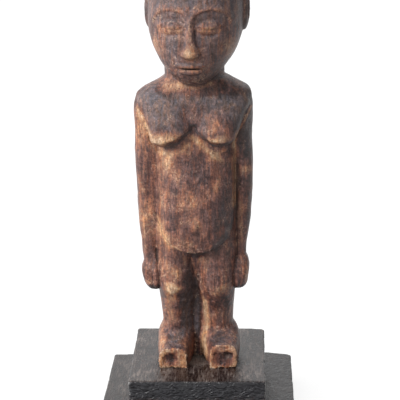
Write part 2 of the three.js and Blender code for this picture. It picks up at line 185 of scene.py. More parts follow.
# One point in every cell that the surface crosses, and one face over every crossed edge
def skinOf(field, axes):
    inside = field < 0
    size = np.array(field.shape)
    corners = list(np.ndindex(2, 2, 2))

    def shifted(grid, corner):
        return grid[tuple(slice(c, n - 1 + c) for c, n in zip(corner, size))]

    count = sum(shifted(inside, c).astype(np.int8) for c in corners)
    cells = np.argwhere((count > 0) & (count < 8))
    number = np.full(size - 1, -1, np.int64)
    number[tuple(cells.T)] = np.arange(len(cells))

    total = np.zeros((len(cells), 3))
    crossings = np.zeros(len(cells))
    for corner in corners:
        for axis in range(3):
            if corner[axis]:
                continue
            start = cells + np.array(corner)
            end = start + np.eye(3, dtype=int)[axis]
            a, b = field[tuple(start.T)], field[tuple(end.T)]
            crossed = (a < 0) != (b < 0)
            place = start[crossed].astype(float)
            place[:, axis] += a[crossed] / (a[crossed] - b[crossed])
            total[crossed] += place
            crossings[crossed] += 1
    middle = total / crossings[:, None]
    points = np.stack([np.interp(middle[:, k], np.arange(size[k]), axes[k]) for k in range(3)], axis=1)

    faces = []
    for axis in range(3):
        one, two = np.eye(3, dtype=int)[(axis + 1) % 3], np.eye(3, dtype=int)[(axis + 2) % 3]
        first = inside[tuple(slice(0, n - 1) if k == axis else slice(1, n - 1) for k, n in enumerate(size))]
        second = inside[tuple(slice(1, n) if k == axis else slice(1, n - 1) for k, n in enumerate(size))]
        nodes = np.argwhere(first != second) + 1 - np.eye(3, dtype=int)[axis]
        ring = [nodes - one - two, nodes - two, nodes, nodes - one]
        quads = np.stack([number[tuple(r.T)] for r in ring], axis=1)
        outward = inside[tuple(nodes.T)]
        quads[~outward] = quads[~outward][:, ::-1]
        faces.append(quads)
    return points, np.concatenate(faces)


def slopeOf(distance, points, step=0.25):
    slope = np.zeros_like(points)
    for k in range(3):
        move = np.zeros(3)
        move[k] = step
        slope[:, k] = (distance(points + move) - distance(points - move)) / (2 * step)
    return slope


# Works out the field only near the surface, which a coarse pass finds first, then moves each point onto it
def carve(distance, axes, passes=2):
    coarseStep, nearSurface = 4, 8
    gentlest, longestMove = 0.2, 0.4
    coarse = [a[::coarseStep] for a in axes]
    grid = np.stack(np.meshgrid(*coarse, indexing="ij"), axis=-1).reshape(-1, 3)
    rough = distance(grid).reshape([len(a) for a in coarse])
    for k in range(3):
        rough = rough.repeat(coarseStep, k)
    field = rough[tuple(slice(len(a)) for a in axes)].copy()
    near = np.argwhere(np.abs(field) < nearSurface)
    spots = np.stack([axes[k][near[:, k]] for k in range(3)], axis=1)
    field[tuple(near.T)] = distance(spots)
    points, faces = skinOf(field, axes)
    for _ in range(passes):
        slope = slopeOf(distance, points)
        steepness = np.maximum((slope ** 2).sum(axis=1), gentlest)
        move = (distance(points) / steepness)[:, None] * slope
        tooLong = np.maximum(np.linalg.norm(move, axis=1) / longestMove, 1)
        points = points - move / tooLong[:, None]
    return points, faces


def normalOf(distance, points):
    slope = slopeOf(distance, points, 0.5)
    return slope / np.maximum(np.linalg.norm(slope, axis=1, keepdims=True), 1e-6)


def meshPiece(name, points, faces, material, lift=0.0):
    mesh = bpy.data.meshes.new(name)
    mesh.vertices.add(len(points))
    mesh.vertices.foreach_set("co", ((points + [0, 0, lift]) * mm).astype(np.float32).ravel())
    mesh.loops.add(faces.size)
    mesh.loops.foreach_set("vertex_index", faces.astype(np.int32).ravel())
    mesh.polygons.add(len(faces))
    mesh.polygons.foreach_set("loop_start", np.arange(0, faces.size, faces.shape[1], dtype=np.int32))
    mesh.update(calc_edges=True)
    mesh.validate()
    mesh.polygons.foreach_set("use_smooth", np.ones(len(mesh.polygons), bool))
    piece = bpy.data.objects.new(name, mesh)
    bpy.context.collection.objects.link(piece)
    mesh.materials.append(material)
    return piece


def paintPoints(piece, name, values):
    layer = piece.data.attributes.new(name, "FLOAT", "POINT")
    layer.data.foreach_set("value", np.clip(values, 0, 1).astype(np.float32))


# Material nodes

def newMaterial(name):
    material = bpy.data.materials.new(name)
    material.use_nodes = True
    tree = material.node_tree
    shader = tree.nodes["Principled BSDF"]
    return material, tree, shader


def connect(tree, value, socket):
    if isinstance(value, bpy.types.NodeSocket):
        tree.links.new(value, socket)
    else:
        socket.default_value = value


# Object coordinates in millimetres, stretched along the grain or the brush
def coordinates(tree, stretch=(1, 1, 1)):
    source = tree.nodes.new("ShaderNodeTexCoord")
    scaled = tree.nodes.new("ShaderNodeVectorMath")
    scaled.operation = "MULTIPLY"
    tree.links.new(source.outputs["Object"], scaled.inputs[0])
    scaled.inputs[1].default_value = [v / mm for v in stretch]
    return scaled.outputs[0]


def noise(tree, where, size, detail=4.0, roughness=0.55, distortion=0.0):
    node = tree.nodes.new("ShaderNodeTexNoise")
    tree.links.new(where, node.inputs["Vector"])
    node.inputs["Scale"].default_value = 1 / size
    node.inputs["Detail"].default_value = detail
    node.inputs["Roughness"].default_value = roughness
    node.inputs["Distortion"].default_value = distortion
    return node.outputs["Fac"]


def maths(tree, operation, a, b=0.0, clamp=False):
    node = tree.nodes.new("ShaderNodeMath")
    node.operation = operation
    node.use_clamp = clamp
    connect(tree, a, node.inputs[0])
    connect(tree, b, node.inputs[1])
    return node.outputs[0]


# Adds up parts, each a value and its weight
def weighed(tree, *parts):
    total = 0.0
    for value, weight in parts:
        total = maths(tree, "ADD", maths(tree, "MULTIPLY", value, weight), total)
    return total


def edge(tree, value, low, high, smallest=0.0, largest=1.0):
    node = tree.nodes.new("ShaderNodeMapRange")
    node.interpolation_type = "SMOOTHSTEP"
    connect(tree, value, node.inputs["Value"])
    for name, number in zip(("From Min", "From Max", "To Min", "To Max"), (low, high, smallest, largest)):
        node.inputs[name].default_value = number
    return node.outputs[0]


def mixed(tree, share, a, b, blend="MIX"):
    node = tree.nodes.new("ShaderNodeMix")
    node.data_type = "RGBA"
    node.blend_type = blend
    connect(tree, share, node.inputs["Factor"])
    for value, socket in ((a, node.inputs[6]), (b, node.inputs[7])):
        connect(tree, value if isinstance(value, bpy.types.NodeSocket) else (*value, 1), socket)
    return node.outputs[2]


def tones(tree, value, stops):
    node = tree.nodes.new("ShaderNodeValToRGB")
    connect(tree, value, node.inputs[0])
    ramp = node.color_ramp
    while len(ramp.elements) < len(stops):
        ramp.elements.new(0.5)
    for element, (place, colour) in zip(ramp.elements, stops):
        element.position = place
        element.color = (*colour, 1)
    return node.outputs[0]


def brightened(tree, colour, factor):
    node = tree.nodes.new("ShaderNodeVectorMath")
    node.operation = "SCALE"
    tree.links.new(colour, node.inputs[0])
    connect(tree, factor, node.inputs["Scale"])
    return node.outputs[0]


def painted(tree, name):
    node = tree.nodes.new("ShaderNodeAttribute")
    node.attribute_name = name
    return node.outputs["Fac"]


def bump(tree, height, depth, strength=1.0, under=None):
    node = tree.nodes.new("ShaderNodeBump")
    node.inputs["Strength"].default_value = strength
    node.inputs["Distance"].default_value = depth * mm
    connect(tree, height, node.inputs["Height"])
    if under is not None:
        tree.links.new(under, node.inputs["Normal"])
    return node.outputs[0]


# The carved figure

figureCarving = dict(
    cell=(0.9, 0.9, 1.2),
    faceCell=0.8,
    reachX=(-46, 44),
    reachY=(-44, 41),
    neckBase=205,
    headFrom=207,
    figureHeight=290,
    leanPerHeight=-0.0055,
    leanFrom=12,
    feetOffset=-0.3,
    headTurn=-5,
    headOffset=2.4,
    eyeLine=247.5,
    eyeApart=13,
    noseBase=226.25,
    mouthLine=219.17,
    faceFront=-34.2,
    cheekTurn=20,
    cutDepth=0.45,
    cutSize=(7, 7, 15),
    lumpDepth=0.24,
    dentDepth=0.16,
    breakDepth=0.55,
)


def trunk():
    stations = [
        [84, 0, -4.5, 27.8, 17.6],
        [98, 0, -5.2, 27.6, 19.4],
        [112, 0, -5, 27.4, 20],
        [130, 0, -3.4, 27.6, 19.6],
        [150, 0, -1.6, 28.4, 18.2],
        [168, 0, -0.6, 29, 18],
        [181, 0, -0.2, 34, 18.6],
        [189, 0, 0.4, 38.2, 18.4],
        [195, 0, 0.6, 39.6, 17.8],
        [199.5, 1.4, 0.7, 36, 17.4],
        [205, 1.5, 1, 25.9, 16.9],
        [209, 0.6, 1, 20, 16.6],
        [217, 0.4, 1, 19, 14],
    ]
    roundSide = limb(stations, squareness=2.15)["distance"]
    squareSide = limb(stations, squareness=2.7)["distance"]
    bellyWidth, bellyMiddle, bellyDrop = 27.6, 112, 27
    slantRun, slantRise = 68.4, 56

    # the belly's lower edge is cut to a U, and the cut opens out to the armpits
    def distance(spots):
        barrel = np.where(spots[:, 0] < 0, roundSide(spots), squareSide(spots))
        across, height = np.abs(spots[:, 0]), spots[:, 2] - bellyMiddle
        share = np.sqrt((across / bellyWidth) ** 2 + (np.minimum(height, 0) / bellyDrop) ** 2)
        below = np.sqrt(across ** 2 + height ** 2) * (1 - 1 / np.maximum(share, 1e-6))
        slanted = ((across - bellyWidth) * slantRise - height * slantRun) / math.hypot(slantRise, slantRun)
        apron = np.where(height < 0, below, slanted)
        return -softMin(-barrel, -apron, 0.9)

    return shapeOf(distance, (-40, -26, 84), (40, 20, 217), soft=0.6)


def hips():
    pelvis = limb([
        [78, 0, 0.4, 28, 15.6],
        [92, 0, 0, 28.2, 16.8],
        [106, 0, -1, 27.6, 16.2],
        [118, 0, -2.2, 26.8, 15.4],
        [132, 0, -3, 25.4, 14.5],
    ], squareness=2.6, bottomRound=7, topRound=6, soft=3)
    buttocks = [pebble((14, 14, 17), (side * 12.8, 8, 90), 2.1, soft=3) for side in (-1, 1)]
    return [pelvis] + buttocks


# The chest plate and the breasts hang over the belly with an undercut lip, which runs lower on her right
def chest():
    plate = limb([
        [174.5, 0, -8.6, 28, 12.4],
        [183, 0, -7.2, 34.4, 13.6],
        [191, 0, -5.2, 38.4, 14],
        [198, 0, -2.2, 35, 13.6],
        [204, 0, 0, 26, 13],
    ], squareness=3.1, bottomRound=4, topRound=3)

    def lobe(side):
        foot, lowest = (160.4, -18) if side < 0 else (161.2, 16.4)
        return limb([
            [foot, lowest, -15.5, 10.8, 11.6],
            [foot + 5, lowest - side * 0.8, -14.9, 12.8, 12.2],
            [foot + 12, side * 15.8, -13, 15.6, 12.6],
            [188, side * 17.5, -8.6, 17, 12],
            [204, side * 16, -3, 14, 11],
        ], squareness=2.4, bottomRound=6.5, topRound=14, soft=1.4)

    masses = [plate, lobe(-1), lobe(1)]
    lip = np.array([
        [-32, 164.5],
        [-27, 162.6],
        [-20, 161.2],
        [-14, 163],
        [-8, 167.2],
        [-3, 172],
        [1.5, 172.2],
        [6, 168],
        [12, 163.8],
        [18, 161.9],
        [23, 162.8],
        [32, 168],
    ])
    lipFront, steepestLip = -20, -13

    # the bevel under the lip is a little steeper below her right breast
    def distance(spots):
        low = readStations(lip, np.clip(spots[:, 0], lip[0, 0], lip[-1, 0]))[0]
        bevel = -0.5 - 0.2 * np.exp(-((spots[:, 0] - steepestLip) / 9) ** 2)
        low = low + bevel * (spots[:, 1] - lipFront) - spots[:, 2]
        return -softMin(-fieldOf(masses, spots), -low, 1.4)

    return shapeOf(distance, (-40, -28, 156), (40, 16, 205), soft=0.4)


# Between arm and trunk the wood is left standing, a little behind the arm
def underarm(side):
    thinner = 0 if side < 0 else 1.6
    return limb([
        [80, side * 27, 2, 4, 9.6 - thinner],
        [104, side * 28, 2, 5, 10.6 - thinner],
        [150, side * 29, 2, 5.6, 10.8 - thinner],
        [164, side * 29.6, 0.6, 5.8, 12 - thinner],
        [182, side * 31.4, 0, 6.4, 13.6 - thinner],
    ], squareness=4, bottomRound=6, soft=1)


def arm(side):
    rightArm = [
        [76, -32, -1.5, 5.6, 7],
        [88, -32.6, -0.8, 6.5, 7.8],
        [104, -33.4, 0.5, 7.2, 9],
        [126, -34.1, 1.8, 7.4, 9.8],
        [150, -34.1, 2, 7.9, 10.4],
        [168, -33.9, 1.6, 7.9, 11.2],
        [188, -33, 0.8, 8.5, 12.5],
        [201, -30.4, 0.8, 9, 12.8],
    ]
    leftArm = [
        [76, 30.9, -1.5, 4.3, 7],
        [88, 31.2, -0.8, 4.7, 7.8],
        [104, 32.2, 0.5, 6.1, 9],
        [126, 32.8, 1.8, 7.1, 9.8],
        [146, 33, 2, 7.5, 10.4],
        [166, 32.3, 1.6, 7.6, 11.2],
        [188, 32, 0.8, 8.3, 12.5],
        [201, 30.6, 0.8, 9, 12.8],
    ]
    return limb(rightArm if side < 0 else leftArm, squareness=2.3, topRound=13, soft=0.7)


def hand(side):
    rightHand = [
        [52, -30, -2.6, 5.6, 8.4],
        [60, -31.5, -2.6, 6.4, 9.8],
        [68.5, -32.9, -2.2, 6.6, 10],
        [75, -31.7, -1.6, 5.8, 8.4],
        [83, -31.9, -1.2, 5.5, 7],
    ]
    leftHand = [
        [53.4, 28.9, -2.6, 5.6, 8.4],
        [60, 30, -2.6, 6.1, 9.8],
        [70, 31.3, -2.2, 6.2, 10],
        [75.5, 31.2, -1.6, 5.7, 8.8],
        [79, 30.6, -1.4, 4.6, 7.4],
    ]
    grooveX, heel = (37.8, 8) if side < 0 else (36.1, 5)
    mitt = limb(rightHand if side < 0 else leftHand, squareness=2.6, bottomRound=heel, soft=0.6)
    thumb = limb([
        [56, side * 28.6, -10.6, 2.6, 2.6],
        [66, side * 28.9, -10.6, 2.8, 2.8],
        [78, side * 30.2, -7, 2.4, 2.4],
    ], bottomRound=3, topRound=3, soft=0.6)
    tips = [pebble((1.9, 1.7, 2.1), (side * 28.8, -12, height), soft=0.5) for height in (60.2, 65.6)]
    grooves = [pebble((1.7, 0.6, 8), (side * grooveX, y, 57.5), turn=(0, side * 8, 0), cut=True, soft=0.4)
               for y in (-6.2, -1.8, 2.6)]
    return [mitt, thumb] + tips + grooves


# In front a sloping facet cuts each leg on its inner side, which leaves a wide valley down to the web
def leg(side):
    table = np.array([
        [14, side * 13.6, 2.5, 12.3, 12.5],
        [24, side * 13, 2, 12.4, 12],
        [36, side * 13, 1.2, 12.9, 12.4],
        [48, side * 13.2, -1.2, 13.7, 13.8],
        [57, side * 13.5, -3.6, 14.1, 15.4],
        [68, side * 13.8, -2.8, 14.4, 16],
        [82, side * 14, -1, 14.5, 16.4],
        [96, side * 13.8, -1.6, 14.2, 16.8],
        [112, side * 13, -2.4, 13.4, 16],
    ])
    bottom, top, widest = table[0, 0], table[-1, 0], 29
    facetX, facetBack = 9.5, 0.4
    facetAcross, facetForward = 0.64, 0.77
    post = limb(table, squareness=2.3, topRound=12)["distance"]

    def distance(spots):
        station = readStations(table, np.clip(spots[:, 2], bottom, top))
        front = station[1] - station[3]
        behind = facetAcross * (side * spots[:, 0] - facetX)
        behind += facetForward * (spots[:, 1] - front - facetBack)
        return -softMin(-post(spots), behind, 3)

    return shapeOf(distance, (min(0, side * widest), -20, bottom), (max(0, side * widest), 16, top), soft=0.9)


def foot(side):
    shift = 0.4 if side < 0 else 0.8
    rightFoot = [
        [-17, -14.4, 9.6, 11, 13.4],
        [-8, -15.2, 11.6, 12.8, 14.6],
        [2, -15.9, 11.6, 13.2, 14.4],
        [10, -16.6, 9, 12.3, 13],
        [18, -17.4, 6.2, 10.8, 10.8],
        [25, -17.6, 4.4, 9.9, 10.4],
    ]
    leftFoot = [
        [-17, 14, 9.6, 11.6, 13.4],
        [-8, 14.6, 11.6, 13.6, 14.6],
        [2, 15.1, 11.8, 14, 14.6],
        [10, 16.1, 9.6, 12.8, 13.4],
        [18, 17.4, 7.4, 10.8, 11.8],
        [25, 17.6, 6, 9.9, 11.8],
    ]
    block = limb(rightFoot if side < 0 else leftFoot, squareness=3.4, bottomRound=7,
                 at=(shift, 0, 0), turn=(90, 0, 0), soft=3.5)
    toeFront = -25.2
    if side < 0:
        hollows = [((5.2, 1.6, 4.4), (-19.4, toeFront, 6)), ((2.8, 2, 2.6), (-19, toeFront, 6.6))]
    else:
        hollows = [((7.2, 1.4, 5.2), (17.8, toeFront, 6.8)), ((3, 2.2, 2.6), (22, toeFront, 9.4))]
    broken = [pebble(halfSizes, at, 2.6, turn=(0, 14, 0), cut=True, soft=1) for halfSizes, at in hollows]
    return [block] + broken


# The thin wood that joins the legs
def web():
    return limb([
        [-0.3, 0, 6, 4, 9],
        [20, 0, 4, 3.6, 8.6],
        [40, 0, 2.5, 3.6, 8.6],
        [58, 0, 1, 4, 10.5],
        [84, 0, 0, 5, 13.4],
    ], squareness=2.6, soft=1.6)


def navel():
    return pebble((3.4, 3, 4.6), (-0.5, -23.6, 105), soft=2.6)


def neck():
    return limb([
        [200, 0.4, 1.5, 20.8, 17],
        [214, 0.4, 1, 20.6, 17],
        [236, 0.4, 2, 20.4, 18],
    ], squareness=2.1, soft=0.6)


# The head is set out on the usual rules of proportion: eyes halfway up, nose at a quarter, five eyes wide
def head():
    eyeLine, noseBase, mouthLine, faceFront = (figureCarving[k] for k in (
        "eyeLine", "noseBase", "mouthLine", "faceFront"))
    halfDepth = -faceFront
    skull = limb([
        [figureCarving["neckBase"], 0, -17, 27.3, halfDepth],
        [mouthLine, 0, -9.5, 28.6, halfDepth],
        [noseBase + 8, 0, -2.5, 31.2, halfDepth],
        [eyeLine, 0, 0, 32.5, halfDepth],
        [eyeLine + 19.4, 0, 1.5, 32.7, halfDepth],
        [figureCarving["figureHeight"], 0, 3, 32.7, halfDepth],
    ], squareness=2.25, bottomRound=39.1, topRound=36.55, soft=1.5)

    # a form set on the cheek's turned side, raised from it by so much
    def onCheek(halfSizes, squareness, side, height, raised, **place):
        turn = math.radians(figureCarving["cheekTurn"])
        across = figureCarving["eyeApart"] + raised * math.sin(turn)
        at = (side * across, faceFront * 0.943 - raised * math.cos(turn), height)
        return pebble(halfSizes, at, squareness, turn=(0, 0, side * figureCarving["cheekTurn"]), **place)

    both = (-1, 1)
    sockets = [onCheek((12.4, 4.6, 9.4), 2.1, side, eyeLine - 0.6, 2.9, cut=True, soft=0.8) for side in both]
    lids = [onCheek((9, 4, 4.8), 2, side, eyeLine - 1.6, -2.6, soft=0.8) for side in both]
    nose = limb([
        [noseBase - 1, 0, -35.6, 6.1, 5.6],
        [noseBase + 3.5, 0, -35.6, 6.5, 5.8],
        [noseBase + 11, 0, -34.4, 4.03, 4.6],
        [eyeLine, 0, -33.2, 3.12, 3.4],
        [eyeLine + 8.8, 0, -31, 5.85, 2.4],
    ], squareness=1.9, bottomRound=3.4, topRound=5, soft=1)
    lips = [pebble((10.2, 3.6, 2.3), (0, faceFront - 0.2, mouthLine + 1.7), 1.9, soft=1.2),
            pebble((8.8, 3.6, 2.6), (0, faceFront - 0.2, mouthLine - 2), 1.9, soft=0.9),
            pebble((8.6, 3, 0.5), (0, faceFront - 3.4, mouthLine - 0.1), cut=True, soft=0.4)]
    ears = []
    for side in both:
        ears.append(pebble((4.2, 7.6, 15.35), (side * 32.1, 5, 254), 2.2, turn=(-8, 0, 0), soft=1.2))
        ears.append(pebble((3.4, 4.6, 10.1), (side * 36.7, 3.8, 255.6), turn=(-8, 0, 0), cut=True, soft=0.6))
    return [skull] + sockets + [nose] + lips + lids + ears


# Carved lines of the face, seen from the front: the raised arch of each brow and the rim and slit of each lid
def faceRelief(spots):
    archWide, archHigh = 13.2, 10.2
    lidWide, lidHigh, lidDrop = 9.6, 4.1, 1.8
    rimHeight, rimWidth, rimReach = 0.55, 0.8, 10.5
    slitDepth, slitWidth, slitDrop = 0.9, 0.55, 3
    across = np.abs(spots[:, 0]) - figureCarving["eyeApart"]
    up = spots[:, 2] - figureCarving["eyeLine"]
    arch = (np.hypot(across / archWide, np.maximum(up, 0) / archHigh) - 1) * 11
    brow = np.exp(-(arch / np.where(arch > 0, 2.6, 0.9)) ** 2) * np.clip(up / 3 + 0.6, 0, 1)
    lid = np.abs(up + lidDrop) - lidHigh * (1 - (across / lidWide) ** 2)
    rim = rimHeight * np.exp(-(lid / rimWidth) ** 2) * (np.abs(across) < rimReach)
    sag = 0.018 * across ** 2 - slitDrop
    slit = slitDepth * np.exp(-((up - sag) / slitWidth) ** 2) * np.clip(3 - np.abs(across) / 2.8, 0, 1)
    onFront = np.clip((-14 - spots[:, 1]) / 4, 0, 1)
    return (brow + rim - slit) * onFront


def spineGroove():
    return limb([
        [116, 0, 14.9, 1.6, 1.6],
        [140, 0, 17.4, 2, 2.4],
        [170, 0, 18.8, 2, 2.4],
        [198, 0, 19.6, 1.6, 1.6],
    ], bottomRound=8, topRound=8, cut=True, soft=1.5)


# The body's forms in the order in which they are joined, on its right side first
bodyShapes = [
    leg(-1), leg(1), web(), *foot(-1), *foot(1),
    *hips(), trunk(), chest(), navel(),
    arm(-1), arm(1), underarm(-1), underarm(1), *hand(-1), *hand(1),
    neck(), spineGroove(),
]
headShapes = head()


# Takes out the figure's lean, so that its forms can be set out upright
def upright(spots):
    leaning = np.maximum(0, spots[:, 2] - figureCarving["leanFrom"])
    straight = spots.copy()
    straight[:, 0] -= figureCarving["feetOffset"] + figureCarving["leanPerHeight"] * leaning
    return straight


# Takes out the turn of the head
def turnedHead(spots):
    turn = math.radians(figureCarving["headTurn"])
    aside = spots - [figureCarving["headOffset"], 0, 0]
    turned = aside.copy()
    turned[:, 0] = math.cos(turn) * aside[:, 0] + math.sin(turn) * aside[:, 1]
    turned[:, 1] = -math.sin(turn) * aside[:, 0] + math.cos(turn) * aside[:, 1]
    return turned


# What the knife and long use leave: cut facets, calmer on the face, lumps, dents and broken toe ends
def toolMarks(spots):
    faceFoot, faceBack, faceCalm = 208, -10, 0.3
    toeFront, toeTop = -21.5, 18
    onFace = (spots[:, 2] > faceFoot) & (spots[:, 1] < faceBack)
    marks = (knifeCuts(spots, figureCarving["cutSize"], 3) - 0.5) * figureCarving["cutDepth"]
    marks += lumps(spots, (9, 9, 16), 7) * figureCarving["lumpDepth"]
    marks += lumps(spots, (2.6, 2.6, 4), 8) * figureCarving["dentDepth"]
    broken = np.clip((toeFront - spots[:, 1]) / 2, 0, 1) * np.clip((toeTop - spots[:, 2]) / 3, 0, 1)
    marks += broken * lumps(spots, (3.4, 3.4, 3.4), 9) * figureCarving["breakDepth"]
    marks += broken * lumps(spots, (1.8, 1.8, 1.8), 10) * figureCarving["breakDepth"] * 0.6
    return marks * np.where(onFace, faceCalm, 1)


def figureDistance(spots):
    soleDepth, headFoot, headSoft, markReach = 0.3, 200, 0.7, 2.5
    spots = upright(spots)
    field = fieldOf(bodyShapes, spots)
    high = spots[:, 2] > headFoot
    if high.any():
        turned = turnedHead(spots[high])
        headField = fieldOf(headShapes, turned) - faceRelief(turned)
        field[high] = softMin(field[high], headField, headSoft)
    field = np.maximum(field, -soleDepth - spots[:, 2])
    onSurface = np.abs(field) < markReach
    field[onSurface] += toolMarks(spots[onSurface])
    return field


# The cells are lower from the neck up, for the face
def figureAxes():
    cellX, cellY, cellZ = figureCarving["cell"]
    faceCell = figureCarving["faceCell"]
    underSoles, overCrown = 1.2, 1.5
    low = np.arange(-underSoles, figureCarving["neckBase"], cellZ)
    high = np.arange(low[-1] + faceCell, figureCarving["figureHeight"] + overCrown, faceCell)
    return [np.arange(*figureCarving["reachX"], cellX), np.arange(*figureCarving["reachY"], cellY),
            np.concatenate([low, high])]


# The colours of the carved wood: the wood from its darkest to its most rubbed, then what lies on it, among it
# the grey of dust and painted sheen.
# Dull to lively and sooty to rusty are factors, which change the brightness and hue of the wood and of the
# dust and painted sheen
patinaTones = dict(
    wood=[
        (0.00, (0.032, 0.012, 0.010)),
        (0.18, (0.098, 0.038, 0.029)),
        (0.34, (0.186, 0.079, 0.056)),
        (0.52, (0.298, 0.126, 0.073)),
        (0.70, (0.416, 0.210, 0.114)),
        (0.86, (0.526, 0.308, 0.172)),
        (1.00, (0.586, 0.388, 0.232)),
    ],
    coolDustAndSheen=(0.160, 0.133, 0.134),
    warmDustAndSheen=(0.198, 0.129, 0.108),
    dull=(0.47, 0.38, 0.35),
    lively=(1.54, 1.56, 1.58),
    sooty=(0.88, 1.00, 1.16),
    rusty=(1.12, 0.98, 0.82),
    scuff=(0.60, 0.45, 0.33),
    pit=(0.016, 0.009, 0.008),
    scratch=(0.56, 0.36, 0.22),
    crack=(0.018, 0.010, 0.009),
    dirtAndShade=(0.026, 0.014, 0.011),
)


# Old handled wood: a dark skin worn through to the wood, a grey of dust and painted sheen, scuffs, pits,
# scratches, and dirt with painted shade in the hollows.
# The painted values say where the carving is rubbed or darkened with painted shade, where dust and painted
# sheen lie, where it stands out and where it is hollow
def carvedPatina():
    material, tree, shader = newMaterial("carvedPatina")
    plain = coordinates(tree)
    grain = coordinates(tree, (1, 1, 0.13))
    cloud = noise(tree, plain, 9, 3, 0.6)
    mottle = noise(tree, plain, 3.6, 5, 0.65, 0.6)
    crumb = noise(tree, plain, 1.7, 4, 0.7)
    speck = noise(tree, plain, 0.9, 3, 0.7)
    streak = noise(tree, grain, 1.7, 5, 0.7)
    wearAndShading, dustAndSheen = painted(tree, "wearAndShading"), painted(tree, "dustAndSheen")
    ridge, hollow = painted(tree, "ridge"), painted(tree, "hollow")

    # the wood, from dark to rubbed; the painted shade among the wear values and in the hollows makes it
    # darker
    wear = weighed(tree, (wearAndShading, 1.0), (cloud, 0.5), (mottle, 0.45), (streak, 0.8), (crumb, 0.25),
                   (ridge, 0.25), (hollow, -0.12), (1.0, -1.12))
    base = tones(tree, wear, patinaTones["wood"])

    # dust and painted sheen, a grey that is thickest where the wood is least worn
    dustAndSheenLevel = weighed(tree, (dustAndSheen, 1.0), (cloud, 1.5), (mottle, 1.3), (wear, -1.2), (1.0, -1.25))
    dustAndSheenShare = edge(tree, dustAndSheenLevel, 0.0, 0.9)
    warm = edge(tree, weighed(tree, (cloud, 0.5), (streak, 0.3), (mottle, 0.2)), 0.44, 0.62)
    dustAndSheenTone = mixed(tree, warm, patinaTones["coolDustAndSheen"], patinaTones["warmDustAndSheen"])
    base = mixed(tree, weighed(tree, (dustAndSheenShare, 0.85)), base, dustAndSheenTone)

    # small changes of brightness and hue
    lively = edge(tree, weighed(tree, (crumb, 0.9), (mottle, 0.9), (speck, 0.2), (streak, 1.2)), 1.16, 2.04)
    liveliness = mixed(tree, lively, patinaTones["dull"], patinaTones["lively"])
    base = mixed(tree, 1.0, base, liveliness, "MULTIPLY")
    blush = noise(tree, grain, 3.4, 4, 0.65, 0.8)
    rust = edge(tree, weighed(tree, (blush, 1.0), (speck, 0.3)), 0.54, 0.78)
    base = mixed(tree, 1.0, base, mixed(tree, rust, patinaTones["sooty"], patinaTones["rusty"]), "MULTIPLY")

    # scuffs and pits, most of them in rough patches
    rough = edge(tree, weighed(tree, (cloud, 0.6), (mottle, 0.5), (ridge, 0.2)), 0.52, 0.72)
    scuff = edge(tree, weighed(tree, (speck, 0.8), (crumb, 0.6), (rough, 0.14), (ridge, 0.15)), 0.88, 0.97)
    base = mixed(tree, weighed(tree, (scuff, 0.6)), base, patinaTones["scuff"])
    pit = edge(tree, weighed(tree, (speck, 0.8), (crumb, 0.6), (rough, -0.18)), 0.52, 0.42)
    base = mixed(tree, weighed(tree, (pit, 0.85)), base, patinaTones["pit"])

    # fine lines along the middle of a wandering noise: pale scratches where handled, dark cracks elsewhere
    squiggle = noise(tree, plain, 3.6, 2, 0.6, 1.4)
    offLine = maths(tree, "ABSOLUTE", weighed(tree, (squiggle, 1.0), (1.0, -0.5)))
    line = edge(tree, offLine, 0.05, 0.012)
    handled = edge(tree, weighed(tree, (wearAndShading, 1.0), (cloud, 0.8)), 0.80, 1.10)
    bare = maths(tree, "MULTIPLY", handled, weighed(tree, (dustAndSheenShare, -0.4), (1.0, 0.55)))
    base = mixed(tree, maths(tree, "MULTIPLY", line, bare), base, patinaTones["scratch"])
    smooth = edge(tree, rough, 0.35, 0.0)
    crack = maths(tree, "MULTIPLY", line, smooth)
    base = mixed(tree, weighed(tree, (crack, 0.4)), base, patinaTones["crack"])

    # dirt and painted shade in the hollows
    dirtAndShade = edge(tree, weighed(tree, (hollow, 1.0), (mottle, 0.6), (crumb, 0.4)), 1.02, 1.5)
    base = mixed(tree, weighed(tree, (dirtAndShade, 0.85)), base, patinaTones["dirtAndShade"])

    connect(tree, base, shader.inputs["Base Color"])
    dullness = weighed(tree, (mottle, 0.4), (crumb, 0.2), (dirtAndShade, 0.2), (1.0, 0.09))
    connect(tree, dullness, shader.inputs["Roughness"])
    shader.inputs["Specular IOR Level"].default_value = 0.42
    fine = bump(tree, weighed(tree, (streak, 0.7), (speck, 0.25)), 0.8, 0.9)
    coarse = bump(tree, weighed(tree, (mottle, 0.5), (crumb, 0.7)), 1.3, 0.9, fine)
    tree.links.new(coarse, shader.inputs["Normal"])
    return material
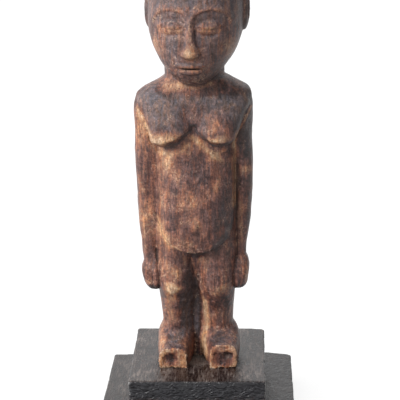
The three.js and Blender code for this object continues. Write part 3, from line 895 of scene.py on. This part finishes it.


# Where handling has rubbed the patina down or left it thick, and where shade is painted as darker wood: x,
# height, half-width, half-height, amount
wearAndShadingPlaces = dict(
    chest=(0, 190, 32, 15, -0.16),
    chestMiddle=(-2, 186, 9, 10, 0.26),
    chestLeft=(13.5, 177, 4, 6, 0.40),
    chestLeftTop=(17, 187, 8, 4, 0.12),
    chestLeftSide=(22, 176, 5, 9, 0.16),
    shoulderLeft=(24, 190, 8, 7, -0.12),
    armpitTop=(-37, 181, 3, 6, 0.40),
    armpitMiddle=(-33.5, 173, 3, 6, 0.50),
    armpitFoot=(-30, 165, 3, 7, 0.40),
    rightBreastTip=(-23, 166.5, 6, 4.4, 0.98),
    rightBreastInside=(-13.5, 169.5, 6, 4, 0.72),
    leftBreastRim=(15, 166, 8, 3.2, 0.85),
    underRightBreast=(-18, 154.5, 8, 4, 0.16),
    underCleavage=(-5, 161, 6, 3.4, 0.20),
    cleavageLine=(7, 161.5, 3.6, 2.6, 0.20),
    cleavageLineFoot=(14, 155.5, 4.5, 3, 0.20),
    flankTop=(-22.5, 142, 4.5, 22, 0.20),
    flankFoot=(-23.5, 114, 3.6, 16, 0.10),
    ribs=(-17, 147, 6, 7, 0.28),
    neckRight=(-15, 203, 7, 5, 0.44),
    hipRight=(-20, 88, 7, 5, 0.18),
    bellyTop=(2, 141, 9, 11, -0.10),
    bellyMiddle=(-5, 124, 8, 6, 0.24),
    bellyMiddleLeft=(6, 126, 8, 6, 0.10),
    sideLine=(15.5, 134, 2.6, 10, 0.26),
    navel=(0.5, 107, 4.2, 8, 0.28),
    bellyFoot=(-4, 93, 11, 5, 0.12),
    # darker patina with painted shade on her left side, away from the key lamp
    bellyLeftSide=(19, 112, 9, 20, -0.20),
    rimRight=(-20, 95, 3, 5, 0.42),
    rimRightUpper=(-25, 102, 2.4, 7, 0.42),
    rightArmTop=(-38, 170, 6, 16, 0.26),
    rightElbow=(-33, 137, 4, 7, -0.06),
    rightElbowOutside=(-39, 133, 3, 8, 0.20),
    rightForearm=(-36, 104, 6, 19, 0.32),
    # the dark places of her left arm are darker patina with painted shade, away from the key lamp
    leftArmTop=(36, 178, 7, 22, -0.44),
    leftArmPatch=(36.5, 141.5, 5, 4.4, 0.42),
    leftArmMiddle=(36, 134, 7, 14, -0.16),
    leftForearm=(30.5, 106, 3, 20, 0.34),
    leftForearmOutside=(38, 100, 4, 22, -0.12),
    rightThigh=(-16, 70, 6, 4.5, 0.44),
    rightThighOutside=(-24, 76, 4, 9, 0.16),
    rightThighInside=(-7, 79, 3, 6, 0.36),
    leftThighInside=(7, 76, 3.4, 9, 0.22),
    rightKnee=(-14, 56, 6.4, 3.8, 0.92),
    rightKneeLow=(-17, 50, 5, 5, 0.30),
    rightKneeOutside=(-18, 55, 4, 4, 0.30),
    rightShin=(-18, 42, 4, 14, 0.42),
    # painted shade on the inner side of her right leg
    rightShinInside=(-8, 40, 4, 18, -0.30),
    leftKnee=(17, 56, 5, 5, 0.50),
    leftKneeInside=(12, 55, 3, 4, 0.26),
    leftShinEdge=(5.6, 42, 2.4, 10, 0.62),
    leftShinFoot=(5.6, 24, 2.6, 10, 0.30),
    leftShin=(15, 36, 7, 14, 0.12),
    leftFootInside=(4, 9, 3, 10, 0.50),
    rightFootOutside=(-27, 17, 3.6, 9, 0.36),
    rightFootTop=(-17, 18, 7, 5, -0.26),
    rightFootInside=(-8, 18, 2.6, 4, 0.40),
    leftFootTop=(15, 17, 6, 6, -0.30),
    rightFingers=(-35, 58, 2.6, 5, 0.40),
    leftFingers=(36, 64, 2.4, 9, 0.34),
)


# Edges rubbed to bare wood, and dark lines of painted shade under the belly's rim, down the valley between
# the legs and on the web: half-width, amount, and the line's points x, height
wearAndShadingLines = dict(
    # the tan band at the neck's foot is wear, with a painted highlight where its slope faces up
    neckFoot=(1.5, 0.45, [(-9.7, 204.5), (-5.3, 202.9), (1.4, 201.9), (7.9, 203.4), (12, 205)]),
    armpitRight=(1.3, 0.34, [(-38, 186), (-35, 178), (-30.5, 172), (-28, 166)]),
    armpitLeft=(1.1, 0.85, [(39.1, 186.8), (34.1, 177.7), (29, 169.3), (27, 160)]),
    trunkLeft=(1.6, 0.50, [(27.6, 160), (27.4, 140), (27.2, 118)]),
    underRightBreast=(2.2, 0.26, [(-26, 157), (-18, 154.5), (-9, 157.5), (-4, 163)]),
    underCleavage=(2.0, 0.50, [(-1.5, 168), (3, 164.5), (7, 160.5), (12.5, 156), (19, 151)]),
    creaseLow=(1.0, 0.35, [(10, 152), (15, 156), (21, 158.5)]),
    bellyRim=(1.5, 0.45, [(-26.4, 108), (-25, 100), (-22, 95), (-16.5, 90), (-10.5, 86.6)]),
    bellyRimShade=(1.4, -0.35, [(-4, 83.4), (4, 84), (12, 88.6), (19, 96), (23, 103)]),
    crotchRight=(0.7, 0.34, [(-4.5, 82), (-2, 75), (-1, 66)]),
    crotchLeft=(0.7, 0.34, [(4, 82), (1.5, 75), (0.6, 68)]),
    # painted shade down the valley between the legs
    valley=(5.0, -0.24, [(-5, 76), (-6, 60), (-7.5, 44), (-7.5, 22)]),
    leftShinEdge=(1.9, 0.40, [(2.2, 60), (2.6, 49.5), (5, 44), (6.6, 35.7), (6, 24), (4.4, 14), (4.6, 4)]),
    # painted shade on the recessed web between the legs
    web=(2.4, -0.40, [(0.2, 60), (0, 30), (-0.4, 0)]),
)


# A painted sheen highlight, a grey strip down the left side of the trunk: x, height
trunkSide = [(28.6, 160), (28.2, 140), (28, 116)]

# Rubbed places of the head, the same on both sides: x, height, half-width, half-height, amount
headPlaces = dict(
    nose=(0, 230, 5.5, 5, 0.60),
    noseBridge=(0, 243, 2.5, 7, 0.30),
    lips=(3, 219, 8, 2.6, 0.40),
    lid=(13, 244.5, 9, 3.4, 0.38),
    cheek=(24, 232, 5, 8, 0.36),
    brow=(14, 258, 10, 2.4, 0.12),
    chin=(0, 209.5, 8, 3, 0.14),
)

# Dark insides of the toe faces: x, height, half-width, half-height, how much darker
toeFaces = dict(
    right=(-19.4, 5.6, 5.6, 5, 0.36),
    rightDeep=(-19, 6.6, 2.8, 2.8, 0.28),
    left=(17.8, 6.4, 7.6, 5.8, 0.56),
    leftDeep=(22, 9.4, 3, 2.6, 0.34),
)

# Rubbed places of the back
backPlaces = dict(
    bladeRight=(-17, 180, 9, 8, 0.20),
    bladeLeft=(17, 178, 9, 9, 0.16),
    spineSide=(6, 150, 5, 22, -0.12),
    elbowRight=(-34, 133, 5, 9, 0.24),
    elbowLeft=(33, 131, 5, 9, 0.20),
    buttockRight=(-12.8, 92, 8, 10, 0.30),
    buttockLeft=(12.8, 90, 8, 10, 0.26),
    waist=(0, 116, 16, 7, -0.14),
    calfRight=(-13, 44, 6, 14, 0.16),
    calfLeft=(13, 40, 6, 14, 0.20),
    heelRight=(-14, 6, 7, 6, 0.30),
    heelLeft=(15, 6, 7, 6, 0.30),
    headBack=(2, 252, 16, 14, -0.10),
    headCrown=(4, 276, 16, 8, 0.12),
)


# How much the places of a table add at each point, most in their middles
def amountOfPlaces(places, x, height):
    wear = np.zeros(len(x))
    for placeX, placeHeight, halfWidth, halfHeight, amount in places.values():
        wear += amount * np.exp(-((x - placeX) / halfWidth) ** 2 - ((height - placeHeight) / halfHeight) ** 2)
    return wear


# The distance from a line that runs through the given points
def farFromLine(x, height, line):
    nearest = np.full(len(x), np.inf)
    for (startX, startHeight), (endX, endHeight) in zip(line, line[1:]):
        runX, runHeight = endX - startX, endHeight - startHeight
        along = ((x - startX) * runX + (height - startHeight) * runHeight) / (runX ** 2 + runHeight ** 2)
        along = np.clip(along, 0, 1)
        awayX, awayHeight = x - startX - along * runX, height - startHeight - along * runHeight
        nearest = np.minimum(nearest, np.hypot(awayX, awayHeight))
    return nearest


# The head is rubbed where it stands out: brows, lids, nose, lips and cheeks
def headWear(points):
    spots = turnedHead(upright(points))
    x = np.abs(spots[:, 0]) + 1.2 * lumps(points, (4, 4, 4), 35)
    height = spots[:, 2] + 1.2 * lumps(points, (4, 4, 4), 36)
    wear = 0.14 * np.clip(faceRelief(spots), 0, 1) + amountOfPlaces(headPlaces, x, height)
    return wear * (points[:, 2] > figureCarving["headFrom"]) * np.clip((-6 - spots[:, 1]) / 6, 0, 1)


# How far in and out ridges and hollows are felt for, how rubbed or darkened with painted shade the carving's
# parts are, and how much dust and painted sheen lie on them
dressing = dict(
    ridgeReach=1.3,
    ridgeGain=1.4,
    hollowReaches=(2.2, 5),
    rubbedAll=0.38,
    rubbedBehind=-0.06,
    rubbedHead=-0.07,
    rubbedPlate=-0.06,
    shadeBelow=-0.45,
    rubbedToes=0.42,
    plateFoot=158,
    plateTop=204,
    toesFront=-22.6,
    toesTop=19,
    dustAndSheenAll=0.12,
    dustAndSheenOnTops=0.4,
    dustAndSheenPlate=0.30,
    sheenFadeToLeft=-0.005,
    dustAndSheenHead=0.42,
    sheenStrip=0.4,
    stripWidth=2,
)


# Paints on each point how proud and hollow it is, how rubbed or darkened with painted shade, and how much
# dust and painted sheen lie on it. Lumps make the places' edges uneven
def dressFigure(points, piece):
    normal = normalOf(figureDistance, points)
    ridgeReach = dressing["ridgeReach"]
    ridge = (figureDistance(points - normal * ridgeReach) + ridgeReach) / ridgeReach
    hollow = np.zeros(len(points))
    for reach in dressing["hollowReaches"]:
        hollow = np.maximum(hollow, (reach - figureDistance(points + normal * reach)) / reach)
    straight = upright(points)
    x = straight[:, 0] + 2.2 * lumps(points, (6, 6, 9), 31)
    height = straight[:, 2] + 2.6 * lumps(points, (6, 6, 9), 32)
    inFront = np.clip(0.7 - normal[:, 1] * 1.3, 0, 1)
    behind = np.clip(normal[:, 1] * 1.3, 0, 1)
    wearAndShading = dressing["rubbedAll"] + inFront * amountOfPlaces(wearAndShadingPlaces, x, height)
    wearAndShading += behind * (amountOfPlaces(backPlaces, x, height) + dressing["rubbedBehind"])
    lineX = straight[:, 0] + 0.5 * lumps(points, (3, 3, 4), 33)
    lineHeight = straight[:, 2] + 0.5 * lumps(points, (3, 3, 4), 34)
    for halfWidth, amount, line in wearAndShadingLines.values():
        wearAndShading += amount * inFront * np.exp(-(farFromLine(lineX, lineHeight, line) / halfWidth) ** 2)
    onHead = points[:, 2] > figureCarving["headFrom"]
    wearAndShading += headWear(points) + dressing["rubbedHead"] * onHead
    plate = np.clip(1.2 - fieldOf([chestPlate], straight), 0, 1) * inFront
    plate *= np.clip((straight[:, 2] - dressing["plateFoot"]) / 6, 0, 1)
    plate *= np.clip((dressing["plateTop"] - height) / 9, 0, 1)
    wearAndShading += dressing["rubbedPlate"] * plate
    # painted shade: surfaces facing down, below the shoulders, are darker
    below = np.clip(-normal[:, 2] * 1.6 - 0.2, 0, 1) * (straight[:, 2] < 180)
    wearAndShading += dressing["shadeBelow"] * below * inFront
    toes = (points[:, 1] < dressing["toesFront"]) & (points[:, 2] < dressing["toesTop"])
    toes &= normal[:, 1] < -0.5
    wearAndShading += dressing["rubbedToes"] * toes
    for placeX, placeHeight, halfWidth, halfHeight, amount in toeFaces.values():
        dish = np.hypot((lineX - placeX) / halfWidth, (lineHeight - placeHeight) / halfHeight)
        wearAndShading -= amount * toes * np.exp(-dish ** 4)
    betweenFeet = np.exp(-(straight[:, 0] / 12) ** 2 - (points[:, 2] / 24) ** 2)
    hollow *= 1 - 0.9 * betweenFeet
    # dust and painted sheen: most on tops that face up, on the chest plate, less towards her left, and on the
    # face
    dustAndSheen = np.clip(dressing["dustAndSheenAll"] + dressing["dustAndSheenOnTops"] * normal[:, 2], 0, 1)
    dustAndSheen += (dressing["dustAndSheenPlate"] + dressing["sheenFadeToLeft"] * straight[:, 0]) * plate
    dustAndSheen += dressing["dustAndSheenHead"] * onHead * inFront
    # a painted sheen highlight along the left side of the trunk
    strip = np.exp(-(farFromLine(lineX, lineHeight, trunkSide) / dressing["stripWidth"]) ** 2)
    dustAndSheen += dressing["sheenStrip"] * inFront * strip
    dustAndSheen *= 1 - toes
    paintPoints(piece, "ridge", np.clip(ridge, 0, 1) * dressing["ridgeGain"])
    paintPoints(piece, "hollow", hollow)
    paintPoints(piece, "wearAndShading", wearAndShading)
    paintPoints(piece, "dustAndSheen", dustAndSheen)


chestPlate = chest()
points, faces = carve(figureDistance, figureAxes())
print("figure carved:", len(points), "points,", 2 * len(faces), "triangles")
carvedWood = carvedPatina()
figurePiece = meshPiece("figureCarving", points, faces, carvedWood, plinthTop)
dressFigure(points, figurePiece)
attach(figurePiece, "root")
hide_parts("figure")
print("figure dressed")


# The plinth's two boards

# A board is cut by its edges in turn. Each corner is x, y, rounding, and the last one closes on the first.
# Its edges are eased and chipped, and its paint is wrinkled, most of all on its sides
def boardDistance(board, spots):
    corners = np.array(board["corners"], float)
    sides = np.roll(corners[:, :2], -1, axis=0) - corners[:, :2]
    sides /= np.linalg.norm(sides, axis=1, keepdims=True)
    side = np.full(len(spots), -999.0)
    for i, (x, y, rounding) in enumerate(corners):
        out = (spots[:, 0] - x) * sides[i, 1] - (spots[:, 1] - y) * sides[i, 0]
        turned = abs(sides[i - 1, 0] * sides[i, 1] - sides[i - 1, 1] * sides[i, 0])
        side = -softMin(-side, -out, max(rounding * turned, 0.6))
    middle = board["height"] / 2
    level = np.abs(spots[:, 2] - middle) - middle
    close = np.maximum(side, level) > -3
    near = spots[close]
    chip = np.clip(lumps(near, (7, 7, 5), board["seed"] + 3) - 0.3, 0, 1) * board["chips"]
    ease = np.full(len(spots), board["edge"])
    ease[close] += chip
    over = np.stack([side + ease, level + ease], axis=1)
    field = np.linalg.norm(np.maximum(over, 0), axis=1) + np.minimum(over.max(axis=1), 0) - ease
    onSide = np.clip(1.5 + side[close], 0, 1) * np.clip(-level[close] / 1.6, 0, 1)
    wrinkle = 0.8 * lumps(near, (6, 6, 2.6), board["seed"])
    wrinkle += 0.3 * lumps(near, (3, 3, 1.9), board["seed"] + 1)
    field[close] += (board["wrinkle"] * onSide + board["topWrinkle"] * (1 - onSide)) * wrinkle
    field[close] += 0.1 * onSide * lumps(near, (12, 12, 7), board["seed"] + 2)
    return np.maximum(field, -spots[:, 2])


def boardAxes(board):
    corners = np.array(board["corners"], float)
    low, high = corners[:, :2].min(axis=0) - 1.5, corners[:, :2].max(axis=0) + 1.5
    cell = board["cell"]
    return [np.arange(low[0], high[0] + cell, cell), np.arange(low[1], high[1] + cell, cell),
            np.arange(-0.9, board["height"] + 1.8, cell)]


# Darker to right is how much darker the board's top is towards its right side, and dust is x, y, half-width,
# half-depth
blockBoard = dict(
    corners=[[-48.1, -48, 1.5], [48, -48, 1.5], [48, 49.2, 3], [-48.1, 49.2, 1.5]],
    height=30, edge=0.9, chips=2.2, wrinkle=0.36, topWrinkle=0.05, seed=21, cell=1.05,
    footReach=22, thick=0.1, dust=(0, -10, 9, 13), brush=(1, 0.12, 1), shade=1.0,
)
slabBoard = dict(
    corners=[[-70.3, -71.5, 1.5], [68.7, -71.5, 1.5], [69.4, 69.6, 4], [50, 73.4, 6], [-68.6, 68.4, 1.5]],
    height=20, edge=0.9, chips=2.0, wrinkle=0.3, topWrinkle=0.03, seed=41, cell=1.3,
    footReach=12, thick=0.45, dust=(0, 0, 8, 8), brush=(1, 0.1, 1), shade=0.75,
)

# The colours of the paint: on the tops, worn by the brush's strokes, and on the sides, then what shows on it,
# among it painted glints along the wrinkles
paintTones = dict(
    worn=[
        (0.10, (0.008, 0.005, 0.005)),
        (0.42, (0.022, 0.014, 0.013)),
        (0.66, (0.058, 0.043, 0.039)),
        (0.95, (0.170, 0.138, 0.122)),
    ],
    black=[
        (0.10, (0.004, 0.004, 0.005)),
        (0.55, (0.009, 0.008, 0.011)),
        (0.95, (0.026, 0.024, 0.029)),
    ],
    brown=(0.060, 0.030, 0.020),
    wrinkleGlint=(0.028, 0.028, 0.033),
    rub=(0.36, 0.34, 0.33),
    dust=(0.170, 0.136, 0.120),
)


def boardPaint(name, board):
    material, tree, shader = newMaterial(name)
    where = coordinates(tree)
    brushed = coordinates(tree, board["brush"])
    patch = noise(tree, where, 16, 4, 0.6)
    mottle = noise(tree, where, 3.2, 5, 0.7)
    bristle = noise(tree, brushed, 1.7, 4, 0.7)
    hair = noise(tree, brushed, 0.8, 3, 0.6)
    fleck = noise(tree, where, 0.9, 3, 0.7)
    squiggle = noise(tree, coordinates(tree, (0.5, 0.5, 1)), 2.6, 1, 0.5, 1.3)
    ridge, top, foot = painted(tree, "ridge"), painted(tree, "top"), painted(tree, "foot")

    strokeWear = weighed(tree, (patch, 0.9), (mottle, 0.8), (bristle, 1.9), (hair, 1.9), (1.0, -2.25))
    worn = tones(tree, strokeWear, paintTones["worn"])
    sideWear = weighed(tree, (patch, 0.8), (mottle, 1.0), (fleck, 0.7), (1.0, -0.75))
    black = tones(tree, sideWear, paintTones["black"])
    base = brightened(tree, mixed(tree, top, black, worn), board["shade"])
    brown = edge(tree, weighed(tree, (foot, 1.0), (mottle, 0.8), (patch, 0.5)), 0.95, 1.35)
    base = mixed(tree, weighed(tree, (brown, 0.7)), base, paintTones["brown"])
    # painted glints: pale lines along the middle of the wrinkles, mostly on the sides
    wrinkleGlint = edge(tree, maths(tree, "ABSOLUTE", weighed(tree, (squiggle, 1.0), (1.0, -0.5))), 0.06, 0.01)
    wrinkleGlint = maths(tree, "MULTIPLY", wrinkleGlint, weighed(tree, (top, -0.8), (mottle, 1.6), (1.0, -0.1)), True)
    base = mixed(tree, wrinkleGlint, base, paintTones["wrinkleGlint"])
    rub = edge(tree, weighed(tree, (ridge, 1.3), (fleck, 1.0), (mottle, 0.6)), 1.16, 1.30)
    base = mixed(tree, weighed(tree, (rub, 0.85)), base, paintTones["rub"])
    dust = edge(tree, weighed(tree, (painted(tree, "dust"), 1.0), (mottle, 0.6)), 0.5, 1.0)
    base = mixed(tree, weighed(tree, (dust, 0.9)), base, paintTones["dust"])
    connect(tree, base, shader.inputs["Base Color"])
    dullness = weighed(tree, (mottle, 0.4), (bristle, 0.3), (hair, 0.4), (top, -0.08), (1.0, -0.16))
    connect(tree, dullness, shader.inputs["Roughness"])
    strokes = weighed(tree, (bristle, 0.7), (hair, 0.4), (fleck, 0.3))
    fine = bump(tree, maths(tree, "MULTIPLY", strokes, weighed(tree, (top, 0.7), (1.0, 0.3))), 0.6, 0.8)
    wrinkled = maths(tree, "MULTIPLY", squiggle, maths(tree, "SUBTRACT", 1.08, top))
    connect(tree, bump(tree, wrinkled, 1.7, 0.9, fine), shader.inputs["Normal"])
    return material


def makeBoard(name, board, material, node):
    def distance(spots):
        return boardDistance(board, spots)

    points, faces = carve(distance, boardAxes(board), passes=1)
    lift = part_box(node)[0].z / mm
    piece = meshPiece(name, points, faces, material, lift)
    normal = normalOf(distance, points)
    ridgeReach = 1.2
    paintPoints(piece, "ridge", (distance(points - normal * ridgeReach) + ridgeReach) / ridgeReach)
    # the top's tone darkens towards the board's right side
    worn = 1 - board["thick"] * np.clip(points[:, 0] / 50, 0, 1)
    paintPoints(piece, "top", worn * np.clip(normal[:, 2] * 1.5 - 0.4, 0, 1))
    low = np.clip(1.15 - points[:, 2] / board["footReach"], 0, 1)
    paintPoints(piece, "foot", low * (1 - np.clip(normal[:, 2], 0, 1)))
    dustX, dustY, dustWidth, dustDepth = board["dust"]
    dustFar = ((points[:, 0] - dustX) / dustWidth) ** 2 + ((points[:, 1] - dustY) / dustDepth) ** 2
    paintPoints(piece, "dust", np.exp(-dustFar) * normal[:, 2])
    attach(piece, "root")
    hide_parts(node)
    print(name, "made:", 2 * len(faces), "triangles")


blockPaint = boardPaint("blockPaint", blockBoard)
makeBoard("plinthBlockBoard", blockBoard, blockPaint, "plinth_block")
slabPaint = boardPaint("slabPaint", slabBoard)
makeBoard("plinthSlabBoard", slabBoard, slabPaint, "plinth_slab")


# The studio, in metres and watts: a pale floor, a sky that is brightest on one side, and three soft lamps

studio = dict(
    floorReach=9.0,
    floorDrop=0.0003,
    floorTone=(0.25, 0.25, 0.25, 1),
    floorGlow=0.80,
    skyTowards=(-0.75, 0.35, 0.70),
    skyFade=(-0.6, 0.9),
    skyDark=0.10,
    skyBright=1.3,
    lampsAim=(0, 0, 0.2),
    keyAt=(-1.9, -1.3, 1.5),
    keySize=1.0,
    keyWatts=63.0,
    fillAt=(1.7, -1.5, 1.0),
    fillSize=1.4,
    fillWatts=1.2,
    frontAt=(0.1, -2.2, 0.4),
    frontSize=1.6,
    frontWatts=4.6,
)


def studioFloor():
    material, tree, shader = newMaterial("paleFloor")
    shader.inputs["Base Color"].default_value = studio["floorTone"]
    shader.inputs["Roughness"].default_value = 1.0
    shader.inputs["Specular IOR Level"].default_value = 0.0
    shader.inputs["Emission Color"].default_value = (1, 1, 1, 1)
    shader.inputs["Emission Strength"].default_value = studio["floorGlow"]
    bpy.ops.mesh.primitive_plane_add(size=2 * studio["floorReach"], location=(0, 0, -studio["floorDrop"]))
    floor = bpy.context.active_object
    floor.name = "studioFloor"
    floor.data.materials.append(material)
    floor.visible_diffuse = False


# Each lamp is key, fill or front, and its place, size and watts stand in the studio's dictionary
def softbox(lampName):
    light = bpy.data.lights.new(lampName + "Light", "AREA")
    light.shape = "SQUARE"
    light.size = studio[lampName + "Size"]
    light.energy = studio[lampName + "Watts"]
    lamp = bpy.data.objects.new(lampName + "Light", light)
    lamp.location = studio[lampName + "At"]
    lamp.visible_camera = False
    towards = Vector(studio["lampsAim"]) - Vector(studio[lampName + "At"])
    lamp.rotation_euler = towards.to_track_quat("-Z", "Y").to_euler()
    bpy.context.collection.objects.link(lamp)


def studioSky():
    world = bpy.data.worlds.new("studioSky")
    world.use_nodes = True
    sky = world.node_tree
    direction = sky.nodes.new("ShaderNodeTexCoord")
    facing = sky.nodes.new("ShaderNodeVectorMath")
    facing.operation = "DOT_PRODUCT"
    sky.links.new(direction.outputs["Generated"], facing.inputs[0])
    facing.inputs[1].default_value = studio["skyTowards"]
    low, high = studio["skyFade"]
    brightness = edge(sky, facing.outputs["Value"], low, high, studio["skyDark"], studio["skyBright"])
    sky.links.new(brightness, sky.nodes["Background"].inputs["Strength"])
    sky.nodes["Background"].inputs["Color"].default_value = (1, 1, 1, 1)
    bpy.context.scene.world = world


studioFloor()
for lampName in ("key", "fill", "front"):
    softbox(lampName)
studioSky()
bpy.context.scene.view_settings.view_transform = "Standard"
print("studio lit")

# The photograph's camera, solved from the plinth's corners. Distances and the film's width are millimetres,
# angles are degrees, and the focal length and the frame's width are pixels of the photograph
shot = dict(
    distance=928.8,
    aboveBlock=405.2,
    aside=-1.98,
    pitch=17.2,
    yaw=1.92,
    roll=-0.65,
    focal=1379,
    frameWidth=400,
    filmWidth=36,
    farthest=30000,
)


def setCamera():
    pitch, yaw, roll = (math.radians(shot[k]) for k in ("pitch", "yaw", "roll"))
    right = Vector((math.cos(yaw), math.sin(yaw), 0))
    forward = Vector((-math.sin(yaw) * math.cos(pitch), math.cos(yaw) * math.cos(pitch), -math.sin(pitch)))
    up = right.cross(forward)
    away = shot["distance"]
    place = Vector((away * math.sin(yaw), -away * math.cos(yaw), plinthTop + shot["aboveBlock"]))
    place -= right * shot["aside"]
    frameRight = right * math.cos(roll) + up * math.sin(roll)
    frameUp = up * math.cos(roll) - right * math.sin(roll)
    lens = bpy.data.cameras.new("photographCamera")
    lens.sensor_width = shot["filmWidth"]
    lens.lens = shot["focal"] / shot["frameWidth"] * shot["filmWidth"]
    lens.clip_end = shot["farthest"] * mm
    camera = bpy.data.objects.new("photographCamera", lens)
    turned = Matrix((frameRight, frameUp, -forward)).transposed().to_4x4()
    camera.matrix_world = Matrix.Translation(place * mm) @ turned
    bpy.context.collection.objects.link(camera)
    bpy.context.scene.camera = camera


setCamera()
print("camera set")
